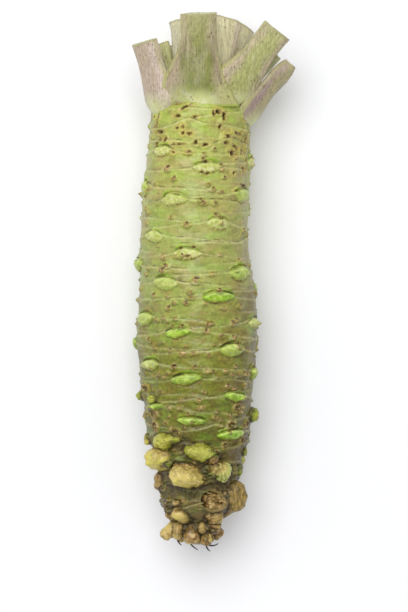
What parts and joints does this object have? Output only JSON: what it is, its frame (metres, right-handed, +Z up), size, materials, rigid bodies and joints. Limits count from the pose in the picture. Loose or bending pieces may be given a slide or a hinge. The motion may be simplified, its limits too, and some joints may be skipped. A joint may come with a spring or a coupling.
{
  "type": "wasabi rhizome",
  "caption": "Trimmed wasabi root lying down: ringed green rhizome with buds, short cut leaf stalks at the crown and root stubs at the lower end.",
  "frame": {"origin": "on the surface that it lies on, below the middle of its bounding box", "axes": "+Y along the rhizome towards the crown and its leaf stalks, +Z up, +X across"},
  "size_m": [0.0542, 0.1788, 0.0398],
  "materials": {
    "rhizome_skin": "fresh damp plant skin, green at the crown to olive brown at the root end, satin",
    "leaf_stalk": "fresh leaf stalk skin, pale green with purple flanks, satin",
    "rootlet": "dry dark fibre, matte"
  },
  "bodies": {
    "root": {"rhizome": "rhizome_skin", "rootlet_1": "rootlet", "rootlet_2": "rootlet", "rootlet_3": "rootlet", "rootlet_4": "rootlet", "stalk_back_center": "leaf_stalk", "stalk_back_left": "leaf_stalk", "stalk_back_right": "leaf_stalk", "stalk_front_center": "leaf_stalk", "stalk_heart": "leaf_stalk", "stalk_left_inner": "leaf_stalk", "stalk_left_outer": "leaf_stalk", "stalk_right_front": "leaf_stalk", "stalk_right_inner": "leaf_stalk", "stalk_right_outer": "leaf_stalk", "stalk_under_left": "leaf_stalk", "stalk_under_right": "leaf_stalk"}
  },
  "joints": []
}
